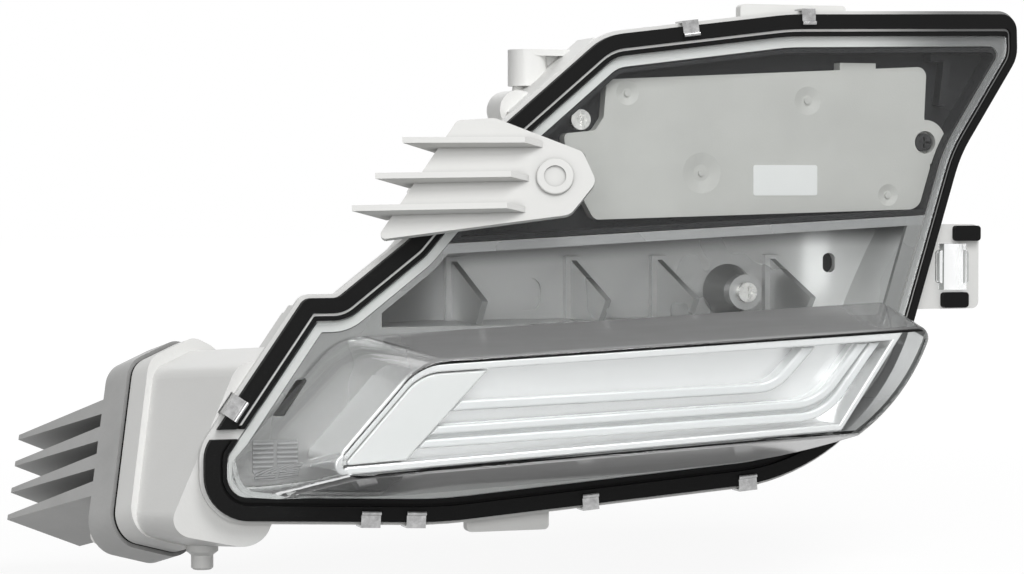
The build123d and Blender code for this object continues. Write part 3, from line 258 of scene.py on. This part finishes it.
def painted_housing_shade(paint, tint):
    """Painted shade on the housing: a painted shadow on the inner wall behind the pocket's slot, and grey
    painted shade on the rim at the right.
    """
    x, y, _ = paint.axes(paint.spot)
    # Painted shadow: a black spot on the inner wall behind the pocket's slot
    distance = paint.add("ShaderNodeVectorMath", operation="DISTANCE")
    paint.put(paint.spot, distance, 0)
    paint.put(SEAT_CENTRE, distance, 1)
    near = paint.math("LESS_THAN", distance.outputs["Value"], SEAT_RADIUS)
    inner = paint.math("LESS_THAN", y, SEAT_DEPTH)
    tint = paint.blend(paint.product(near, inner), tint, SLOT_PAINTED_SHADOW)
    # Painted shade: the flange face turns grey towards the right edge
    front = paint.math("LESS_THAN", y, RIM_DEPTH)
    right = paint.smooth(x, RIM_FROM, RIM_FULL)
    return paint.blend(paint.product(front, right), tint, RIM_PAINTED_SHADE)


def crevice_shade(reach):
    """Painted shade that darkens the tint in gaps narrower than about twice the reach."""
    def darken(paint, tint):
        hollow = paint.add("ShaderNodeAmbientOcclusion", samples=CREVICE_SAMPLES)
        paint.put(reach, hollow, "Distance")
        return paint.blend(paint.spread(hollow.outputs["AO"], CREVICE_SHARE, 1.0), BLACK, tint)
    return darken


def moulded(name, colour, rough, grain, depth, change=0.06, cloud=9.0, shade_painter=None, **values):
    """Moulded plastic, cast metal or rubber: cloudy colour, uneven gloss and a fine grain."""
    paint = Paint(name)
    clouds = paint.noise(cloud, *CLOUDS)
    tint = paint.ramp(clouds, shade(colour, 1.0 - change), shade(colour, 1.0 + change))
    # Optional painted shade, laid over the cloudy colour
    if shade_painter:
        tint = shade_painter(paint, tint)
    gloss = paint.spread(clouds, rough - ROUGH_CHANGE, rough + ROUGH_CHANGE)
    paint.set(Base_Color=tint, Roughness=gloss, **values)
    paint.bump(paint.noise(grain, *GRAIN), depth)
    return paint.material


def wavy_clear(name, tint, rough, grain, depth, **values):
    """Start of a clear plastic whose faces are faintly wavy."""
    paint = Paint(name)
    waves = paint.noise(grain, *WAVES)
    gloss = paint.spread(waves, rough, rough + WAVE_ROUGH)
    paint.set(Base_Color=(*tint, 1.0), IOR=CLEAR_IOR, Transmission_Weight=1.0, Roughness=gloss, **values)
    paint.bump(waves, depth)
    return paint


def see_through(paint, surface, tint):
    """Shows a surface that lets the lamps' light and the scattered light straight through."""
    through = paint.add("ShaderNodeBsdfTransparent")
    paint.put((*shade(tint, CLEAR_PASS), 1.0), through, "Color")
    rays = paint.add("ShaderNodeLightPath").outputs
    lit = paint.math("MAXIMUM", rays["Is Shadow Ray"], rays["Is Diffuse Ray"])
    paint.show(paint.mix(lit, surface, through.outputs["BSDF"]))


def cover(name, tint, rough, grain, depth):
    """Clear moulded cover whose steep side walls carry a grey haze with soft streaks, partly painted shade,
    and near-white painted light on the walls that face down.
    """
    paint = wavy_clear(name, tint, rough, grain, depth, Specular_Tint=COVER_SHEEN)
    shape = paint.add("ShaderNodeNewGeometry").outputs
    _, forward, upward = paint.axes(shape["True Normal"])
    x = paint.axes(paint.spot)[0]
    steep = paint.smooth(paint.math("ABSOLUTE", forward), STEEP_FROM, STEEP_FULL)
    streaks = paint.noise(*STREAKS, STREAK_STRETCH)
    uneven = paint.spread(streaks, WALL_SHARE - WALL_CHANGE, WALL_SHARE + WALL_CHANGE)
    outside = paint.math("SUBTRACT", 1.0, shape["Backfacing"])
    left = paint.smooth(x, LEFT_FULL, LEFT_FROM, LEFT_SHARE, 1.0)
    right = paint.smooth(x, RIGHT_FROM, RIGHT_FULL, 1.0, RIGHT_SHARE)
    # Painted light: walls that face down are painted near white, as if lit from inside
    under = paint.spread(upward, 0.0, 1.0, UNDER_FROM, UNDER_FULL)
    # Grey haze, partly frosting and partly painted shade of the walls
    haze = paint.add("ShaderNodeBsdfPrincipled")
    paint.put(paint.blend(under, WALL_GREY, WALL_UNDER_PAINTED_LIGHT), haze, "Base Color")
    paint.put(WALL_ROUGH, haze, "Roughness")
    share = paint.product(steep, uneven, outside, left, right)
    see_through(paint, paint.mix(share, paint.surface, haze.outputs["BSDF"]), tint)
    return paint.material


def clear(name, tint, rough, grain, depth):
    """Clear moulded plastic."""
    paint = wavy_clear(name, tint, rough, grain, depth, Specular_IOR_Level=LATCH_SHEEN)
    see_through(paint, paint.surface, tint)
    return paint.material


def panel(name):
    """Silver lacquered panel: front face, pocket with its right end made pale by painted light and with
    painted shade just below the lip, and the dark lip above it.
    """
    paint = Paint(name)
    x, y, z = paint.axes(paint.spot)
    # Painted light: the pocket's right end is made paler and less metallic, as if more light fell there
    lit_end = paint.smooth(x, END_FROM, END_FULL)
    lip = paint.math("MULTIPLY_ADD", x, LIP_SLOPE, LIP_HEIGHT)
    # Painted shade: the pocket darkens just below the lip
    below = paint.smooth(paint.math("SUBTRACT", lip, z), 0.0, SHADE_DROP)
    pocket = paint.blend(below, PANEL_SHADE, paint.blend(lit_end, PANEL_POCKET, PANEL_END_PAINTED_LIGHT))
    silver = paint.blend(paint.math("GREATER_THAN", y, POCKET_START), PANEL_FRONT, pocket)
    toned = paint.blend(paint.math("GREATER_THAN", z, lip), silver, PANEL_LIP)
    clouds = paint.noise(*PANEL_CLOUDS)
    uneven = paint.ramp(clouds, PANEL_DULL, PANEL_FULL)
    paint.set(Base_Color=paint.blend(1.0, toned, uneven, "MULTIPLY"),
              Roughness=paint.spread(clouds, *PANEL_ROUGH),
              Metallic=paint.spread(lit_end, PANEL_METAL, END_METAL))
    paint.bump(paint.noise(*PANEL_GRAIN), PANEL_DEPTH)
    return paint.material


# Each moulded look: colour, roughness, grain's scale and depth, then the colour's change and its clouds' scale
looks = {
    # The housing, the arm and the cast sink carry painted shade in their tint
    "housing": moulded("housing_plastic", (0.74, 0.74, 0.725), 0.42, 900.0, 0.00004, 0.05,
                       shade_painter=painted_housing_shade),
    "arm": moulded("arm_plastic", (0.66, 0.66, 0.645), 0.40, 900.0, 0.00004, 0.04,
                   shade_painter=crevice_shade(0.004)),
    "seal": moulded("seal_rubber", (0.005, 0.005, 0.005), 0.62, 1400.0, 0.00005,
                    Specular_IOR_Level=0.12),
    "clear_cover": cover("cover_clear", (0.97, 0.98, 0.98), 0.0, 18.0, 0.000004),
    "clear_latch": clear("latch_clear", (0.90, 0.91, 0.91), 0.08, 160.0, 0.00006),
    "spring_steel": moulded("clip_steel", (0.42, 0.42, 0.42), 0.22, 700.0, 0.00001, 0.25, 300.0,
                            Metallic=1.0),
    "screw_steel": moulded("screw_steel", (0.55, 0.545, 0.53), 0.28, 900.0, 0.00001, 0.15, 300.0,
                           Metallic=1.0),
    "dark_screw": moulded("screw_black", (0.03, 0.03, 0.03), 0.35, 900.0, 0.00001, 0.2, 200.0,
                          Metallic=0.6),
    "dark_bezel": moulded("bezel_plastic", (0.025, 0.025, 0.026), 0.5, 1100.0, 0.000012,
                          Specular_IOR_Level=0.1),
    "driver_plate": moulded("driver_paint", (0.55, 0.545, 0.52), 0.55, 1300.0, 0.00005, 0.06, 26.0),
    "label": moulded("label_paper", (0.82, 0.82, 0.81), 0.5, 1500.0, 0.00001, 0.02),
    "board": moulded("board_mask", (0.02, 0.11, 0.05), 0.35, 900.0, 0.00002),
    "chips": moulded("chip_body", (0.02, 0.02, 0.02), 0.5, 1200.0, 0.00002),
    "plug": moulded("plug_body", (0.70, 0.67, 0.58), 0.45, 1000.0, 0.00002),
    "inner_panel": panel("panel_silver"),
    "flutes": moulded("flute_silver", (0.26, 0.26, 0.26), 0.42, 700.0, 0.00001, 0.1, 60.0,
                      Metallic=0.2),
    "bright_reflector": moulded("reflector_bright", (0.86, 0.86, 0.86), 0.18, 500.0, 0.00001, 0.03,
                                Metallic=0.55),
    "white_diffuser": moulded("diffuser_white", (0.93, 0.93, 0.92), 0.30, 700.0, 0.00001, 0.02),
    "light_guide": moulded("guide_milky", (0.92, 0.925, 0.925), 0.12, 700.0, 0.000005, 0.02,
                           Coat_Weight=0.6),
    "sink_metal": moulded("sink_cast", (0.40, 0.40, 0.395), 0.5, 700.0, 0.00008, 0.1, 30.0,
                          shade_painter=crevice_shade(0.012), Metallic=0.3),
    "pad": moulded("pad_soft", (0.22, 0.25, 0.28), 0.6, 900.0, 0.00003),
    "led_board": moulded("led_mask", (0.70, 0.70, 0.67), 0.4, 900.0, 0.00002),
    "led": moulded("led_phosphor", (0.80, 0.62, 0.18), 0.4, 900.0, 0.00002),
    "connector": moulded("connector_plastic", (0.02, 0.02, 0.02), 0.42, 1100.0, 0.00004),
    "pins": moulded("pin_metal", (0.62, 0.52, 0.30), 0.25, 900.0, 0.00001, Metallic=1.0),
    "vent": moulded("vent_rubber", (0.025, 0.025, 0.025), 0.5, 1100.0, 0.00004),
}

# Each node takes the look of its slot, apart from two that look unlike the others in theirs
slots = {entry["node"]: entry["material_slot"] for entry in frame["record"]["subparts"]}
slots.update(side_flutes="flutes", side_latch="clear_latch")
for name, node in frame["nodes"].items():
    node.data.materials.clear()
    node.data.materials.append(looks[slots[name]])


# Floor, light and camera

def seen_rays(tree):
    """Share of the rays that show a background: camera, glossy and transmission rays."""
    rays = tree.add("ShaderNodeLightPath").outputs
    seen = tree.math("MAXIMUM", rays["Is Camera Ray"], rays["Is Glossy Ray"])
    return tree.math("MAXIMUM", seen, rays["Is Transmission Ray"])


def studio_floor():
    """Pale floor that looks white, keeps the object's shadow and throws little light back up."""
    level = cad_box[0][2] - FLOOR_DROP
    corners = [(x * FLOOR_HALF, y * FLOOR_HALF, level) for x, y in ((-1, -1), (1, -1), (1, 1), (-1, 1))]
    mesh = bpy.data.meshes.new("floor")
    mesh.from_pydata(corners, [], [(0, 1, 2, 3)])
    floor = bpy.data.objects.new("floor", mesh)
    bpy.context.scene.collection.objects.link(floor)
    paint = Paint("floor_paint")
    paint.set(Base_Color=FLOOR_BOUNCE, Roughness=FLOOR_ROUGH)
    pale = paint.add("ShaderNodeBsdfDiffuse")
    paint.put(FLOOR_SEEN, pale, "Color")
    distance = paint.add("ShaderNodeVectorMath", operation="LENGTH")
    paint.put(paint.spot, distance, 0)
    strength = paint.spread(distance.outputs["Value"], FLOOR_GLOW_NEAR, FLOOR_GLOW_FAR, FLOOR_NEAR, FLOOR_FAR)
    glow = paint.add("ShaderNodeEmission")
    paint.put(WHITE, glow, "Color")
    paint.put(strength, glow, "Strength")
    shown = paint.mix(FLOOR_GLOW_SHARE, pale.outputs["BSDF"], glow.outputs["Emission"])
    paint.show(paint.mix(seen_rays(paint), paint.surface, shown))
    mesh.materials.append(paint.material)


def studio_sky():
    """Soft even light, seen as plain white."""
    world = bpy.data.worlds.new("studio")
    bpy.context.scene.world = world
    sky = Tree(world)
    glows = []
    for strength in (SKY_LIGHT, SKY_SEEN):
        glow = sky.add("ShaderNodeBackground")
        sky.put(WHITE, glow, "Color")
        sky.put(strength, glow, "Strength")
        glows.append(glow.outputs["Background"])
    sky.put(sky.mix(seen_rays(sky), *glows), sky.add("ShaderNodeOutputWorld"), "Surface")


def studio_lamp(name, place, size, power):
    """Soft rectangular lamp that faces AIM."""
    lamp = bpy.data.lights.new(name, "AREA")
    lamp.shape = "RECTANGLE"
    lamp.size, lamp.size_y = size
    lamp.energy = power
    holder = bpy.data.objects.new(name, lamp)
    holder.location = place
    holder.rotation_euler = (AIM - place).to_track_quat("-Z", "Y").to_euler()
    bpy.context.scene.collection.objects.link(holder)


def studio_camera():
    """Camera at the photograph's viewing angle."""
    lens = bpy.data.cameras.new("camera")
    lens.lens = CAMERA_LENS
    lens.sensor_width = SENSOR_WIDTH
    lens.sensor_fit = "HORIZONTAL"
    lens.clip_start, lens.clip_end = CLIP_START, CLIP_END
    camera = bpy.data.objects.new("camera", lens)
    camera.location = CAMERA_TARGET + CAMERA_BACK * CAMERA_DISTANCE
    camera.rotation_euler = (-CAMERA_BACK).to_track_quat("-Z", "Y").to_euler()
    bpy.context.scene.collection.objects.link(camera)
    bpy.context.scene.camera = camera


studio_floor()
studio_sky()
for lamp_values in LAMPS:
    studio_lamp(*lamp_values)
studio_camera()
bpy.context.scene.view_settings.view_transform = "Standard"
